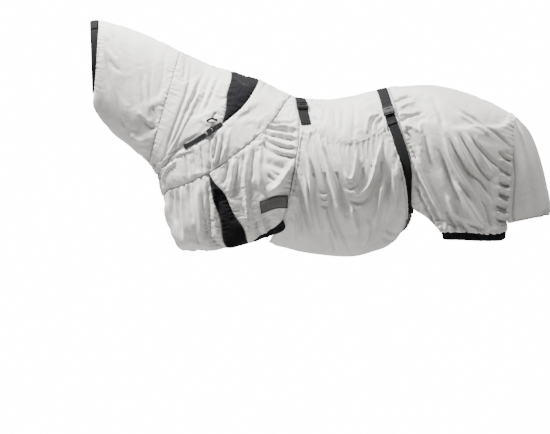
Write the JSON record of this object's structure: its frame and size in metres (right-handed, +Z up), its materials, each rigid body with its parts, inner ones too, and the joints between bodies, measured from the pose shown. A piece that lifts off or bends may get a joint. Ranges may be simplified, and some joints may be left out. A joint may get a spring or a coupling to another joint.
{
  "type": "fly sheet",
  "caption": "Full-body horse fly sheet with neck cover, stretch gussets, strapped belly flap, tail flap and elastic hems.",
  "frame": {"origin": "lining at the withers on the spine line, where the sheet rests on the horse", "axes": "+X towards the tail, -Y towards the near side with the buckles, +Z up"},
  "size_m": [2.1607, 0.6358, 1.0934],
  "materials": {
    "silver_cloth": "light silver-grey woven polyester with a soft sheen",
    "black_mesh": "black stretch fabric, gathered",
    "black_elastic": "ribbed black elastic, matt",
    "black_webbing": "black polypropylene webbing",
    "black_plastic": "moulded black acetal",
    "grey_label": "dark grey woven patch, stitched edge"
  },
  "bodies": {
    "rug": {"poll_band": "black_elastic", "poll_band_tab": "black_elastic", "neck_panel_left": "silver_cloth", "neck_panel_right": "silver_cloth", "neck_rear_panel_left": "silver_cloth", "neck_rear_panel_right": "silver_cloth", "yoke_left": "silver_cloth", "yoke_right": "silver_cloth", "chest_panel_left": "silver_cloth", "chest_panel_right": "silver_cloth", "shoulder_panel_left": "silver_cloth", "shoulder_panel_right": "silver_cloth", "back_panel_left": "silver_cloth", "back_panel_right": "silver_cloth", "hindquarter_left": "silver_cloth", "hindquarter_right": "silver_cloth", "withers_gusset_left": "black_mesh", "withers_gusset_right": "black_mesh", "shoulder_gusset_left": "black_mesh", "shoulder_gusset_right": "black_mesh", "girth_gusset_left": "black_mesh", "girth_gusset_right": "black_mesh", "hind_hem_band_left": "black_elastic", "hind_hem_band_right": "black_elastic", "belly_flap_under": "silver_cloth", "front_strap_upper": "black_webbing", "rear_strap_upper": "black_webbing", "neck_strap_upper": "black_webbing", "neck_strap_lower": "black_webbing", "neck_strap_loop": "black_webbing", "front_buckle_socket": "black_plastic", "rear_buckle_socket": "black_plastic", "neck_buckle_socket": "black_plastic", "label_patch": "grey_label"},
    "belly_flap": {"belly_flap_side": "silver_cloth", "front_strap_lower": "black_webbing", "rear_strap_lower": "black_webbing"},
    "tail_flap": {"tail_flap": "silver_cloth"},
    "front_buckle_plug": {"front_buckle_plug": "black_plastic"},
    "rear_buckle_plug": {"rear_buckle_plug": "black_plastic"},
    "neck_buckle_plug": {"neck_buckle_plug": "black_plastic"},
    "rear_strap_slider": {"rear_strap_slider": "black_plastic"}
  },
  "joints": [
    {"name": "belly_flap_fold", "type": "hinge", "parent": "rug", "child": "belly_flap", "pos_m": [0.4275, -0.2688, -0.6694], "axis": [1, 0, 0], "range_deg": [0, 100]},
    {"name": "tail_flap_hinge", "type": "hinge", "parent": "rug", "child": "tail_flap", "pos_m": [1.2237, 0, -0.1702], "axis": [0, -1, 0], "range_deg": [0, 70]},
    {"name": "front_buckle_release", "type": "slide", "parent": "rug", "child": "front_buckle_plug", "axis": [0.0946, -0.8246, -0.5577], "range_m": [0, 0.03]},
    {"name": "rear_buckle_release", "type": "slide", "parent": "rug", "child": "rear_buckle_plug", "axis": [0.2116, -0.6221, -0.7538], "range_m": [0, 0.03]},
    {"name": "neck_buckle_release", "type": "slide", "parent": "rug", "child": "neck_buckle_plug", "axis": [-0.8323, -0.0574, -0.5514], "range_m": [0, 0.02]},
    {"name": "rear_strap_slider_adjust", "type": "slide", "parent": "belly_flap", "child": "rear_strap_slider", "axis": [0.3327, -0.4655, -0.8201], "range_m": [-0.008, 0.008]}
  ]
}
